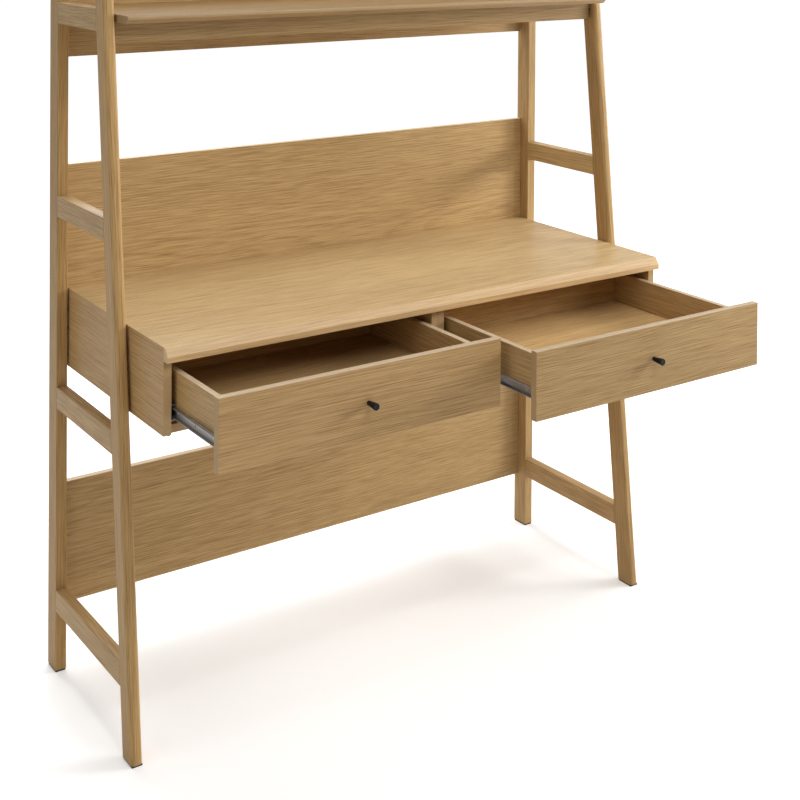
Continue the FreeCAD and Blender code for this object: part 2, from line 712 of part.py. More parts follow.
def drawer_front(drawer):
    """A front, grooved behind for the drawer bottom and bored for the knob's screw."""
    start, end = front_ends(drawer)
    back = front_back(drawer)
    plain = board(start, end, back, back + BOARD, FRONT_BOTTOM, FRONT_TOP)
    left = side_x(drawer, -1, DRAWER_BOARD - GROOVE_DEPTH)
    right = side_x(drawer, 1, DRAWER_BOARD - GROOVE_DEPTH)
    groove = block(left, right, back, back + GROOVE_DEPTH, *bottom_room())
    return plain.cut([groove, knob_screw_shank(drawer, widened(KNOB_SCREW_DIAMETER))])


def drawer_side(drawer, side):
    """A drawer side, grooved for the bottom."""
    far = front_back(drawer)
    near = far - DRAWER_BOX_DEPTH
    outer = side_x(drawer, side, 0)
    inner = side_x(drawer, side, DRAWER_BOARD)
    plain = board(outer, inner, near, far, DRAWER_SIDE_BOTTOM, DRAWER_SIDE_TOP)
    groove_x = side_x(drawer, side, DRAWER_BOARD - GROOVE_DEPTH)
    groove = block(groove_x, inner, near, far, *bottom_room())
    screws = drawer_screw_shanks(drawer, side, widened(SCREW_DIAMETER), HOLE_CLEARANCE)
    return plain.cut([groove] + screws)


def drawer_back(drawer):
    """The back stands on the bottom, between the sides."""
    near = front_back(drawer) - DRAWER_BOX_DEPTH
    left = side_x(drawer, -1, DRAWER_BOARD)
    right = side_x(drawer, 1, DRAWER_BOARD)
    low = DRAWER_BOTTOM_Z + DRAWER_BOTTOM_THICKNESS
    return board(left, right, near, near + DRAWER_BOARD, low, DRAWER_SIDE_TOP)


def drawer_bottom(drawer):
    """A thin bottom in the grooves of the sides and the front."""
    far = front_back(drawer)
    into_groove = GROOVE_DEPTH - GROOVE_CLEARANCE
    left = side_x(drawer, -1, DRAWER_BOARD - into_groove)
    right = side_x(drawer, 1, DRAWER_BOARD - into_groove)
    top = DRAWER_BOTTOM_Z + DRAWER_BOTTOM_THICKNESS
    return block(left, right, far - DRAWER_BOX_DEPTH, far + into_groove, DRAWER_BOTTOM_Z, top)


def knob(drawer):
    """A knob, narrow at the drawer and wider towards its end, with the rim broken."""
    base = Vector(knob_x(drawer), REAR_Y - front_back(drawer) - BOARD, KNOB_Z)
    outward = Vector(0, -1, 0)
    rings = [
        ring(base + outward * height, outward, diameter, KNOB_SIDES)
        for height, diameter in (
            (0, KNOB_BASE_DIAMETER),
            (KNOB_LENGTH - KNOB_RIM, KNOB_END_DIAMETER),
            (KNOB_LENGTH, KNOB_END_DIAMETER - 2 * KNOB_RIM),
        )]
    return tapered(rings).cut(knob_screw_shank(drawer, widened(KNOB_SCREW_DIAMETER), HOLE_CLEARANCE))


def drawer_screws(drawer):
    """The screws of the drawer members, and the screw that holds the knob."""
    screws = []
    for side in SIDES.values():
        head0 = off_wall(drawer, side, INNER_WEB - SCREW_HEAD_HEIGHT)
        head1 = off_wall(drawer, side, INNER_WEB)
        for shank in drawer_screw_shanks(drawer, side, SCREW_DIAMETER):
            depth = REAR_Y - shank.BoundBox.Center.y
            screws.append(shank.fuse(rod(head0, head1, depth, SLIDE_Z, SCREW_HEAD_DIAMETER)))
    back = front_back(drawer)
    head = stud(knob_x(drawer), back - KNOB_SCREW_HEAD_HEIGHT, back, KNOB_Z, KNOB_SCREW_HEAD_DIAMETER)
    screws.append(knob_screw_shank(drawer, KNOB_SCREW_DIAMETER).fuse(head))
    return Part.makeCompound(screws)


# ---------------------------------------------------------------- assembly
def save_frames():
    for name, side in SIDES.items():
        save(name + "_rear_leg", rear_leg(side))
        save(name + "_front_leg", front_leg(side))
        for rail_name, top in RAIL_TOPS.items():
            save("%s_%s" % (name, rail_name), rail(side, top))
    save("leg_glides", leg_glides())


def save_desk_box():
    save("desktop", desktop())
    save("desk_bottom", box_bottom())
    save("desk_back", box_back())
    save("desk_base_caps", base_caps())
    for name, side in SIDES.items():
        save("desk_%s_side" % name, box_side(side))
        save("desk_divider_" + name, divider(side))


def save_panels_and_shelves():
    for panel in PANEL_BOTTOMS:
        save(panel, back_panel(panel))
    for shelf in SHELF_TOPS:
        save(shelf + "_board", shelf_board(shelf))
        save(shelf + "_front_apron", front_apron(shelf))
        save(shelf + "_back_panel", shelf_back_panel(shelf))


def save_fasteners():
    save("desk_bolts", desk_bolts())
    save("frame_spacers", frame_spacers())
    save("cam_dowels", cam_dowels())
    save("cam_discs", cam_discs())
    save("cabinet_slide_screws", cabinet_slide_screws())


def save_drawers():
    for drawer in DRAWER_OUT:
        cages = []
        for name, side in SIDES.items():
            save("%s_%s_side" % (drawer, name), drawer_side(drawer, side))
            save("%s_%s_slide_outer" % (drawer, name), cabinet_member(drawer, side))
            save("%s_%s_slide_inner" % (drawer, name), drawer_member(drawer, side))
            cages.append(ball_cage(drawer, side))
        save(drawer + "_ball_cages", Part.makeCompound(cages))
        save(drawer + "_front", drawer_front(drawer))
        save(drawer + "_back", drawer_back(drawer))
        save(drawer + "_bottom", drawer_bottom(drawer))
        save(drawer + "_knob", knob(drawer))
        save(drawer + "_screws", drawer_screws(drawer))


save_frames()
save_desk_box()
save_panels_and_shelves()
save_fasteners()
save_drawers()
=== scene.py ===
"""Dresses the ladder desk in oak, black lacquer and steel, and sets it in a plain studio.

Lengths are metres, in the frame of the solids: +Z is up, and the desk's front faces -Y.
"""

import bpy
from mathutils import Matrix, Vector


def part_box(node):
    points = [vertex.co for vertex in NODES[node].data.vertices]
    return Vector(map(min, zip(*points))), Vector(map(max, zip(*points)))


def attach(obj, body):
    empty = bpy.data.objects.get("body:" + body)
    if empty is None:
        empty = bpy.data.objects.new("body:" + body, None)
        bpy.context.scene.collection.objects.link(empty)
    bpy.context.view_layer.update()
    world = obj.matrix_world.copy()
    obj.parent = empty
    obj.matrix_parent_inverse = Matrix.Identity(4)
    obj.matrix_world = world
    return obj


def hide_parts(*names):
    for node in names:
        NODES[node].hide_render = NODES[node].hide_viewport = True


bl_info = {
    "name": "Ladder desk",
    "version": (1, 0, 0),
    "blender": (4, 5, 0),
    "location": "3D View > Sidebar > Ladder desk",
    "description": "Materials, turned knobs, fittings and a studio for the ladder desk",
    "category": "Object",
}

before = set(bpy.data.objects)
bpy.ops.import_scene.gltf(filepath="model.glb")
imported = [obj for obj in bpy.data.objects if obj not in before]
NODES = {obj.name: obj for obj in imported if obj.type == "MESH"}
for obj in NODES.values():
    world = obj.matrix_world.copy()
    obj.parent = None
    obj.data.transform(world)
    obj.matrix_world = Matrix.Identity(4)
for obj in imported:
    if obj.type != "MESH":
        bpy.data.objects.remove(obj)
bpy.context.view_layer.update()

import math
import random

import bmesh
import bpy
from bpy.props import FloatProperty, FloatVectorProperty, IntProperty, PointerProperty
from mathutils import Matrix, Vector

SIDES = ("left", "right")
DRAWERS = ("left_drawer", "right_drawer")

# ---------------------------------------------------------------- which way each board's grain runs
LEG_RUN, LEG_RISE = 0.187, 1.75     # how far a front leg leans over its height
LEG_LEAN = math.atan2(LEG_RUN, LEG_RISE)
GRAIN = {
    "across": (0.0, 0.0, 0.0),
    "forward": (0.0, 0.0, math.radians(-90)),
    "upright": (0.0, math.radians(90), 0.0),
    "leaning": (LEG_LEAN, math.radians(90), 0.0),
}
RAILS = ("foot_rail", "under_desk_rail", "over_desk_rail", "lower_shelf_rail", "upper_shelf_rail")
SHELVES = ("lower_shelf", "upper_shelf")
FRAME_BOARDS = {"%s_%s" % (side, rail): "forward" for side in SIDES for rail in RAILS}
FRAME_BOARDS.update({side + "_rear_leg": "upright" for side in SIDES})
FRAME_BOARDS.update({side + "_front_leg": "leaning" for side in SIDES})
CASE_BOARDS = {
    name: "across"
    for name in ("desktop", "desk_bottom", "desk_back", "upper_back_panel", "lower_back_panel")}
CASE_BOARDS.update({
    "desk_" + part: "forward"
    for part in ("left_side", "right_side", "divider_left", "divider_right")})
CASE_BOARDS.update({
    "%s_%s" % (shelf, part): "across"
    for shelf in SHELVES for part in ("board", "front_apron", "back_panel")})
DRAWER_BOARDS = {
    "%s_%s" % (drawer, part): "across"
    for drawer in DRAWERS for part in ("front", "back", "bottom")}
DRAWER_BOARDS.update({
    "%s_%s_side" % (drawer, side): "forward" for drawer in DRAWERS for side in SIDES})

# ---------------------------------------------------------------- how the boards differ
# How pale a board is, beside the others. These tones are partly the boards' own and partly painted
# light and shade, set so that each board matches how brightly it is lit, such as the desktop's
# painted sheen and the lower shelf's painted shade.
TONES_AND_PAINTED_LIGHT = {
    "desktop": 1.3,
    "desk_left_side": 1.05,
    "upper_back_panel": 1.11,
    "lower_back_panel": 1.07,
    "lower_shelf_board": 0.81,
    "lower_shelf_front_apron": 0.81,
    "right_over_desk_rail": 1.18,
    "right_foot_rail": 1.08,
    "right_rear_leg": 1.06,
    "left_drawer_front": 0.95,
    "left_drawer_left_side": 1.08,
    "right_drawer_bottom": 1.32,
    "right_drawer_front": 0.92,
    "left_rear_leg": 0.96,
    "right_front_leg": 0.95,
}
# How strongly a board shows its figure, and how thickly it is lacquered.
CONTRASTS = {"desktop": 1.6}
LACQUERED = {"desktop": 0.06, "right_drawer_bottom": 0.04}
# A shift of a board's hue, for red, green and blue. It is partly painted light and shade, such as
# the desktop's whiter hue that stands in for sheen.
TINTS_AND_PAINTED_LIGHT = {
    "desktop": (1.0, 1.08, 1.2),
    "desk_left_side": (1.04, 0.99, 0.93),
    "upper_back_panel": (1.0, 1.02, 1.04),
    "lower_back_panel": (1.0, 1.02, 1.04),
    "left_drawer_front": (1.02, 0.99, 0.98),
    "left_drawer_left_side": (1.03, 1.0, 0.93),
    "right_over_desk_rail": (1.0, 1.08, 1.18),
    "left_front_leg": (1.0, 0.96, 0.88),
    "left_rear_leg": (0.98, 0.92, 0.8),
    "right_front_leg": (1.0, 0.97, 0.93),
}
# How boards differ by chance.
ODD_TONES = (0.97, 1.03)            # how pale a board is, beside its tone above
ODD_TILT = 0.009                    # how far the grain may stray from a board's length
ODD_SHIFT = 3.0                     # how far along the trunk a board may be cut
HEART_OFFSET = (0.05, 0.14)         # how far from the heart of the tree it is cut

# ---------------------------------------------------------------- figure and finish of the oak
# A stretch is how many features there are to the metre, along the grain and both ways across it.
WANDER, WANDER_STRETCH = 0.05, (1.6, 5.0, 5.0)      # how far the heart strays
WOBBLE, WOBBLE_STRETCH = 0.35, (3.5, 60.0, 60.0)    # how far a ring strays, in years
EARLY_END, LATE_END = 0.12, 0.62    # the parts of a year between which the wood is palest
# Soft bands, streaks and fibres: share of the shade, stretch and detail of each.
LAYERS = (
    (0.22, (1.2, 11.0, 11.0), 3.0),
    (0.12, (2.0, 60.0, 60.0), 2.0),
    (0.13, (3.0, 300.0, 300.0), 2.0),
    (0.62, (5.5, 700.0, 700.0), 2.0),
    (1.28, (13.0, 1400.0, 1400.0), 2.0),
)
LAYER_RANGE = (0.30, 0.70)          # the part of the noise that a layer spreads from dark to light
MEAN_SHADE = 0.54
PORE_STRETCH = (55.0, 1300.0, 1300.0)
PORE_RANGE = (0.62, 0.74)           # the noise where a pore starts, and where it is open
EARLY_RANGE = (0.85, 0.1)           # the paleness where earlywood starts, and where it is full
LATE_PORES = 0.3                    # pores of the latewood, beside those of the earlywood
FIBRE_STRETCH = (60.0, 1400.0, 1400.0)
FIBRE_ROUGHNESS, PORE_ROUGHNESS, FIBRE_RELIEF = 0.16, 0.18, 0.35
GRAIN_DEPTH, GRAIN_RELIEF = 0.0002, 0.25
LACQUER_ROUGHNESS = 0.25
# A face is broad where its normal is this near to the board's thickness, and else an edge.
BROAD_FACE, EDGE_FACE = 0.95, 0.72
# The upward share of an edge's normal, from other edges to upper ones. Upper edges get a painted
# highlight.
LEVEL_EDGE, UPPER_EDGE = 0.4, 0.9
EDGE_CONTRAST = 0.3                 # the figure of an edge, beside that of the face

# ---------------------------------------------------------------- finish of the fittings
COARSE_NOISE = 12                   # how many times coarser the second noise is
NOISE_RANGE = (0.35, 0.65)          # the part of the noise that is spread from dark to light
FINE_DEPTH = 0.0001
BRIGHT_ZINC = 1.6                   # how many times paler the fasteners are than the slides

# ---------------------------------------------------------------- sizes of the fittings
KNOB_NECK = 8 / 13                  # a knob's radius at the drawer, over that at its end
KNOB_DISH = 0.0003
KNOB_SCREW_LENGTH = 0.02            # only the knobs' screws are longer than this
KNOB_SCREW_HEAD = 0.0024
SLIDE_SCREW_HEAD = 0.0007
BOLT_HEAD = 0.0035
CAM_DISH, CAM_BEVEL, CAM_RECESS = 0.0004, 0.0005, 0.0025
SPACER_BORE, SPACER_RIM = 0.0064, 0.0004
CAGED_BALL = 0.863                  # from a ball's middle to its cage's side, over its radius
SAME_POINT, SAME_LEVEL = 1e-6, 1e-5     # how near two points count as one, or as on one level
SPIN_SEAM = 1e-7                    # how near the points are where a spin closes

# ---------------------------------------------------------------- studio
# Name, place and size of each lamp. Its power is a setting of the same name.
LAMPS = (
    ("key", (7.4, -3.3, 3.1), 2.0),
    ("near_key", (1.9, -1.15, 1.45), 0.55),
    ("right_key", (3.4, -0.6, 1.2), 1.5),
    ("top", (0.0, -0.3, 3.6), 2.4),
    ("top_front", (0.0, -2.2, 3.4), 2.0),
    ("top_back", (0.0, 1.2, 3.6), 2.0),
    ("left_fill", (-3.2, -0.8, 1.5), 2.2),
    ("rear_fill", (0.0, 2.6, 2.6), 2.0),
)
LAMP_AIM = (0.0, 0.1, 0.75)
FLOOR_REACH = 30.0
FLOOR_GREY = 0.8
NEAR_FLOOR, FAR_FLOOR = 1.0, 4.5    # from the desk, where the floor's lift starts and stops rising
CAMERA_PLACE = (-1.579871, -2.285903, 1.504561)
CAMERA_TURN, CAMERA_DIP, CAMERA_ROLL = (
    math.radians(angle) for angle in (34.694, 0.777, 0.417))
IMAGE_SIZE = 800                    # in pixels, as are the focal length and the optical centre
FOCAL_LENGTH = 1407.203
OPTICAL_CENTRE = (418.713, -74.529)
SENSOR_WIDTH = 36                   # in millimetres


# ---------------------------------------------------------------- settings in the sidebar
class OakSettings(bpy.types.PropertyGroup):
    """Colour and figure of the oak"""
    light: FloatVectorProperty(
        name="Latewood", description="Colour of the pale wood", subtype="COLOR",
        size=3, min=0, max=1, default=(0.52, 0.345, 0.156))
    # Painted highlight: the tint that lightens edges that face up, as light from above would.
    upper_edge_highlight: FloatVectorProperty(
        name="Upper edges", description="Tint of the paler edging on edges that face up",
        size=3, min=0, max=3, default=(1.24, 1.48, 2.2))
    other_edge: FloatVectorProperty(
        name="Other edges", description="Tint of the paler edging on all other edges",
        size=3, min=0, max=3, default=(1.07, 1.1, 1.24))
    dark: FloatVectorProperty(
        name="Earlywood", description="Colour of the darker, porous wood", subtype="COLOR",
        size=3, min=0, max=1, default=(0.31, 0.186, 0.075))
    ring: FloatProperty(
        name="Ring width", description="Width of a year's growth", subtype="DISTANCE",
        min=0.001, max=0.02, default=0.0042)
    figure: FloatProperty(
        name="Figure", description="How strongly the growth rings show", subtype="FACTOR",
        min=0, max=1, default=0.25)
    pores: FloatProperty(
        name="Pores", description="How dark the open pores are", subtype="FACTOR",
        min=0, max=1, default=0.35)
    streaks: FloatProperty(
        name="Streaks", description="How strongly the fine streaks show", subtype="FACTOR",
        min=0, max=2, default=1.0)
    roughness: FloatProperty(
        name="Roughness", description="Mean roughness of the wood", subtype="FACTOR",
        min=0, max=1, default=0.42)
    specular: FloatProperty(
        name="Specular", description="How much light the bare surface mirrors", subtype="FACTOR",
        min=0, max=1, default=0.12)


class FittingSettings(bpy.types.PropertyGroup):
    """Knobs, slides and fasteners"""
    lacquer: FloatVectorProperty(
        name="Knob lacquer", description="Colour of the knobs", subtype="COLOR",
        size=3, min=0, max=1, default=(0.009, 0.009, 0.009))
    plastic: FloatVectorProperty(
        name="Plastic", description="Colour of the glides, caps and spacers", subtype="COLOR",
        size=3, min=0, max=1, default=(0.016, 0.016, 0.017))
    steel: FloatVectorProperty(
        name="Steel", description="Colour of the zinc-plated slides", subtype="COLOR",
        size=3, min=0, max=1, default=(0.28, 0.268, 0.252))
    segments: IntProperty(
        name="Knob segments", description="Steps round a knob", min=16, max=128, default=64)
    small_segments: IntProperty(
        name="Fitting segments", description="Steps round a screw, cam or cap",
        min=8, max=64, default=32)
    knob_rim: FloatProperty(
        name="Knob rim", description="Radius of the rim at the knob's end", subtype="DISTANCE",
        min=0.0002, max=0.003, default=0.0014)
    ball: FloatProperty(
        name="Ball", description="Diameter of the balls in the slides", subtype="DISTANCE",
        min=0.001, max=0.01, default=0.004)
    ball_inset: FloatProperty(
        name="Ball inset", description="From a cage's end to its first ball", subtype="DISTANCE",
        min=0.002, max=0.05, default=0.008)
    balls_in_row: IntProperty(
        name="Balls in a row", description="Balls along one side of a cage",
        min=2, max=12, default=4)


class StudioSettings(bpy.types.PropertyGroup):
    """Lamps and floor"""
    key: FloatProperty(
        name="Key", description="Distant lamp at the front right", subtype="POWER",
        min=0, max=1000, default=256)
    near_key: FloatProperty(
        name="Near key", description="Small lamp close to the right", subtype="POWER",
        min=0, max=1000, default=9.5)
    right_key: FloatProperty(
        name="Right key", description="Low lamp at the right", subtype="POWER",
        min=0, max=1000, default=66)
    top: FloatProperty(
        name="Top", description="Lamp overhead", subtype="POWER", min=0, max=1000, default=15)
    top_front: FloatProperty(
        name="Top front", description="Lamp overhead, in front", subtype="POWER",
        min=0, max=1000, default=47)
    top_back: FloatProperty(
        name="Top back", description="Lamp overhead, behind", subtype="POWER",
        min=0, max=1000, default=66)
    left_fill: FloatProperty(
        name="Left fill", description="Lamp at the left", subtype="POWER",
        min=0, max=1000, default=18)
    rear_fill: FloatProperty(
        name="Rear fill", description="Lamp behind the desk", subtype="POWER",
        min=0, max=1000, default=62)
    sky: FloatProperty(
        name="Surroundings", description="Strength of the light from all round",
        min=0, max=2, default=0.1)
    near_lift: FloatProperty(
        name="Near floor lift",
        description="Whitens the floor round the desk where it is seen directly",
        min=0, max=1, default=0.31)
    far_lift: FloatProperty(
        name="Far floor lift", description="Whitens the distant floor where it is seen directly",
        min=0, max=1, default=0.95)


# ---------------------------------------------------------------- building materials from nodes
def put(tree, kind, inputs=None, **settings):
    """A new node, with its inputs set to values or joined to other nodes' outputs."""
    node = tree.nodes.new(kind)
    for name, value in settings.items():
        setattr(node, name, value)
    for name, value in (inputs or {}).items():
        if isinstance(value, bpy.types.NodeSocket):
            tree.links.new(value, node.inputs[name])
        else:
            node.inputs[name].default_value = value
    return node


def calc(tree, operation, first, second=0.0):
    """The result of a Math node."""
    return put(tree, "ShaderNodeMath", {0: first, 1: second}, operation=operation).outputs[0]


def vector(tree, operation, first, second):
    """The vector result of a Vector Math node."""
    return put(tree, "ShaderNodeVectorMath", {0: first, 1: second}, operation=operation).outputs[0]


def noise(tree, coordinates, stretch, detail=2.0, output="Fac"):
    """Noise whose features are 1 / stretch long each way."""
    place = vector(tree, "MULTIPLY", coordinates, stretch)
    return put(
        tree, "ShaderNodeTexNoise", {"Vector": place, "Scale": 1.0, "Detail": detail},
    ).outputs[output]


def magnitude(tree, first):
    """The length of a vector."""
    return put(tree, "ShaderNodeVectorMath", {0: first}, operation="LENGTH").outputs["Value"]


def ramp(tree, factor, low, high, first=0.0, last=1.0):
    """Factor's range from low to high, spread over first to last, and held there beyond it."""
    return put(tree, "ShaderNodeMapRange", {
        "Value": factor, "From Min": low, "From Max": high, "To Min": first, "To Max": last,
    }).outputs[0]


def mix(tree, factor, first, second):
    """A colour between two others. Sockets 0, 6, 7 and output 2 are those for colours."""
    return put(tree, "ShaderNodeMix", {0: factor, 6: first, 7: second}, data_type="RGBA").outputs[2]


def opaque(colour):
    """A colour with its alpha of 1."""
    return (*colour, 1.0)


def seen_directly(tree):
    """1 for rays from the camera, a mirroring face or glass, and 0 for all that carry light."""
    ray = tree.nodes.new("ShaderNodeLightPath").outputs
    seen = calc(tree, "MAXIMUM", ray["Is Camera Ray"], ray["Is Glossy Ray"])
    return calc(tree, "MAXIMUM", seen, ray["Is Transmission Ray"])


def empty_tree(owner):
    """The emptied node tree of a new material or world."""
    owner.use_nodes = True
    owner.node_tree.nodes.clear()
    return owner.node_tree


def oak_figure():
    """The node group that turns a place in a board into the colour, gloss and relief of oak.

    Its X runs along the grain, and the heart of the tree lies along Y = Z = 0.
    """
    if "Oak figure" in bpy.data.node_groups:
        return bpy.data.node_groups["Oak figure"]
    oak = bpy.context.scene.desk_oak
    tree = bpy.data.node_groups.new("Oak figure", "ShaderNodeTree")
    for name, way, kind in (
            ("Place", "INPUT", "Vector"), ("Tone", "INPUT", "Float"),
            ("Contrast", "INPUT", "Float"), ("Colour", "OUTPUT", "Color"),
            ("Roughness", "OUTPUT", "Float"), ("Relief", "OUTPUT", "Float")):
        tree.interface.new_socket(name, in_out=way, socket_type="NodeSocket" + kind)
    entry = tree.nodes.new("NodeGroupInput")
    place = entry.outputs["Place"]

    # The rings wander with the trunk, slowly along it and faster across.
    wander = noise(tree, place, WANDER_STRETCH, 1.0, "Color")
    wander = vector(tree, "SUBTRACT", wander, (0.5, 0.5, 0.5))
    wander = vector(tree, "MULTIPLY", wander, (0, WANDER, WANDER))
    in_trunk = vector(tree, "ADD", place, wander)
    radius = magnitude(tree, vector(tree, "MULTIPLY", in_trunk, (0, 1, 1)))
    wobble = calc(tree, "MULTIPLY", noise(tree, place, WOBBLE_STRETCH), WOBBLE)
    years = calc(tree, "ADD", calc(tree, "DIVIDE", radius, oak.ring), wobble)
    year = calc(tree, "FRACT", years)
    pale = calc(
        tree, "MULTIPLY", ramp(tree, year, 0.0, EARLY_END), ramp(tree, year, 1.0, LATE_END))

    swing = calc(tree, "MULTIPLY", calc(tree, "SUBTRACT", pale, 0.5), oak.figure)
    for share, stretch, detail in LAYERS:
        part = ramp(tree, noise(tree, place, stretch, detail), *LAYER_RANGE)
        part = calc(tree, "MULTIPLY", calc(tree, "SUBTRACT", part, 0.5), share * oak.streaks)
        swing = calc(tree, "ADD", swing, part)
    swing = calc(tree, "MULTIPLY", swing, entry.outputs["Contrast"])
    shade = calc(tree, "ADD", swing, MEAN_SHADE)
    colour = mix(tree, shade, opaque(oak.dark), opaque(oak.light))

    # The pores gather in the earlywood, where they darken, roughen and sink the surface.
    fibres = noise(tree, place, FIBRE_STRETCH, 3.0)
    pores = ramp(tree, noise(tree, place, PORE_STRETCH, 1.0), *PORE_RANGE)
    early = calc(tree, "MULTIPLY", ramp(tree, pale, *EARLY_RANGE), 1 - LATE_PORES)
    pores = calc(tree, "MULTIPLY", pores, calc(tree, "ADD", early, LATE_PORES))
    tone = calc(tree, "SUBTRACT", entry.outputs["Tone"], calc(tree, "MULTIPLY", pores, oak.pores))
    colour = put(
        tree, "ShaderNodeVectorMath", {0: colour, "Scale": tone}, operation="SCALE").outputs[0]
    rough = calc(tree, "MULTIPLY", calc(tree, "SUBTRACT", fibres, 0.5), FIBRE_ROUGHNESS)
    rough = calc(tree, "ADD", rough, oak.roughness)
    rough = calc(tree, "ADD", rough, calc(tree, "MULTIPLY", pores, PORE_ROUGHNESS))
    relief = calc(tree, "SUBTRACT", calc(tree, "MULTIPLY", fibres, FIBRE_RELIEF), pores)
    put(tree, "NodeGroupOutput", {"Colour": colour, "Roughness": rough, "Relief": relief})
    return tree


def edging(tree, box):
    """The share of an edge, 0 on a board's two broad faces and 1 on its edges, and its tint: paler
    on all edges, with a painted highlight on the edges that face up.
    """
    oak = bpy.context.scene.desk_oak
    sizes = [high - low for low, high in zip(*box)]
    across = [float(size == min(sizes)) for size in sizes]
    normal = tree.nodes.new("ShaderNodeTexCoord").outputs["Normal"]
    facing = put(tree, "ShaderNodeVectorMath", {0: normal, 1: across}, operation="DOT_PRODUCT")
    share = ramp(tree, calc(tree, "ABSOLUTE", facing.outputs["Value"]), BROAD_FACE, EDGE_FACE)
    upward = put(tree, "ShaderNodeSeparateXYZ", {0: normal}).outputs["Z"]
    upward = ramp(tree, upward, LEVEL_EDGE, UPPER_EDGE)
    return share, mix(tree, upward, opaque(oak.other_edge), opaque(oak.upper_edge_highlight))


def oak_material(board, grain):
    """Oak for one board, cut from a place of its own in the tree."""
    chance = random.Random(board)
    material = bpy.data.materials.new("oak " + board.replace("_", " "))
    tree = empty_tree(material)
    tilt = (0, chance.uniform(-ODD_TILT, ODD_TILT), chance.uniform(-ODD_TILT, ODD_TILT))
    heart = (
        chance.uniform(-ODD_SHIFT, ODD_SHIFT),
        chance.choice((-1, 1)) * chance.uniform(*HEART_OFFSET),
        chance.choice((-1, 1)) * chance.uniform(*HEART_OFFSET))
    coordinates = tree.nodes.new("ShaderNodeTexCoord").outputs["Object"]
    middle = sum(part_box(board), Vector()) / 2
    centred = put(tree, "ShaderNodeMapping", {"Vector": coordinates, "Location": -middle})
    in_tree = put(tree, "ShaderNodeMapping", {
        "Vector": centred.outputs[0], "Location": heart,
        "Rotation": Vector(GRAIN[grain]) + Vector(tilt)})
    figure = tree.nodes.new("ShaderNodeGroup")
    figure.node_tree = oak_figure()
    tree.links.new(in_tree.outputs[0], figure.inputs["Place"])
    # The tone holds painted light and shade as well as the board's own paleness.
    figure.inputs["Tone"].default_value = chance.uniform(*ODD_TONES) * TONES_AND_PAINTED_LIGHT.get(board, 1.0)
    contrast = CONTRASTS.get(board, 1.0)
    figure.inputs["Contrast"].default_value = contrast
    tint = TINTS_AND_PAINTED_LIGHT.get(board, (1, 1, 1))
    if board not in FRAME_BOARDS:
        # Edges are made paler, and edges that face up get a painted highlight.
        share, edge_tint_and_highlight = edging(tree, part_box(board))
        tint = mix(tree, share, opaque(tint), edge_tint_and_highlight)
        plainer = ramp(tree, share, 0.0, 1.0, contrast, EDGE_CONTRAST * contrast)
        tree.links.new(plainer, figure.inputs["Contrast"])
    relief = put(tree, "ShaderNodeBump", {
        "Height": figure.outputs["Relief"], "Strength": GRAIN_RELIEF, "Distance": GRAIN_DEPTH})
    surface = put(tree, "ShaderNodeBsdfPrincipled", {
        "Base Color": vector(tree, "MULTIPLY", figure.outputs["Colour"], tint),
        "Roughness": figure.outputs["Roughness"],
        "Normal": relief.outputs[0],
        "Specular IOR Level": bpy.context.scene.desk_oak.specular,
        "Coat Weight": LACQUERED.get(board, 0.0),
        "Coat Roughness": LACQUER_ROUGHNESS,
    })
    put(tree, "ShaderNodeOutputMaterial", {0: surface.outputs[0]})
    return material


def fine_material(
        name, colour, spread, roughness, rough_spread, stretch,
        metallic=0.0, relief=0.1, specular=0.5):
    """A material whose colour, gloss and relief vary with fine noise, and coarser noise over it."""
    if name in bpy.data.materials:
        return bpy.data.materials[name]
    material = bpy.data.materials.new(name)
    tree = empty_tree(material)
    place = tree.nodes.new("ShaderNodeTexCoord").outputs["Object"]
    fine = noise(tree, place, stretch, 3.0)
    coarse = noise(tree, place, tuple(value / COARSE_NOISE for value in stretch))
    both = calc(tree, "MULTIPLY", calc(tree, "ADD", fine, coarse), 0.5)
    low = [value * (1 - spread) for value in colour]
    high = [min(1.0, value * (1 + spread)) for value in colour]
    shade = mix(tree, ramp(tree, both, *NOISE_RANGE), opaque(low), opaque(high))
    rough = calc(tree, "MULTIPLY", calc(tree, "SUBTRACT", both, 0.5), 2 * rough_spread)
    rough = calc(tree, "ADD", rough, roughness)
    bump = put(
        tree, "ShaderNodeBump", {"Height": fine, "Strength": relief, "Distance": FINE_DEPTH})
    surface = put(tree, "ShaderNodeBsdfPrincipled", {
        "Base Color": shade, "Roughness": rough, "Metallic": metallic,
        "Specular IOR Level": specular, "Normal": bump.outputs[0]})
    put(tree, "ShaderNodeOutputMaterial", {0: surface.outputs[0]})
    return material


def lacquer():
    """Satin black, for the knobs."""
    return fine_material(
        "black lacquer", bpy.context.scene.desk_fittings.lacquer, spread=0.35,
        roughness=0.45, rough_spread=0.08, stretch=(900, 900, 900), relief=0.15, specular=0.14)


def plastic():
    """Matt black, for the glides, spacers and caps."""
    return fine_material(
        "black plastic", bpy.context.scene.desk_fittings.plastic, spread=0.3,
        roughness=0.6, rough_spread=0.08, stretch=(1500, 1500, 1500), relief=0.3, specular=0.25)


def slide_steel():
    """Steel drawn along the slides, and plated."""
    return fine_material(
        "zinc-plated steel", bpy.context.scene.desk_fittings.steel, spread=0.12,
        roughness=0.55, rough_spread=0.1, stretch=(700, 25, 700), metallic=1.0)


def fastener_steel():
    """Paler and glossier steel, for what is turned."""
    colour = [BRIGHT_ZINC * part for part in bpy.context.scene.desk_fittings.steel]
    return fine_material(
        "bright zinc", colour, spread=0.1,
        roughness=0.36, rough_spread=0.1, stretch=(600, 600, 600), metallic=1.0)


def dress(names, material):
    """Puts a material on all of some nodes."""
    for name in names:
        for slot in NODES[name].material_slots:
            slot.material = material


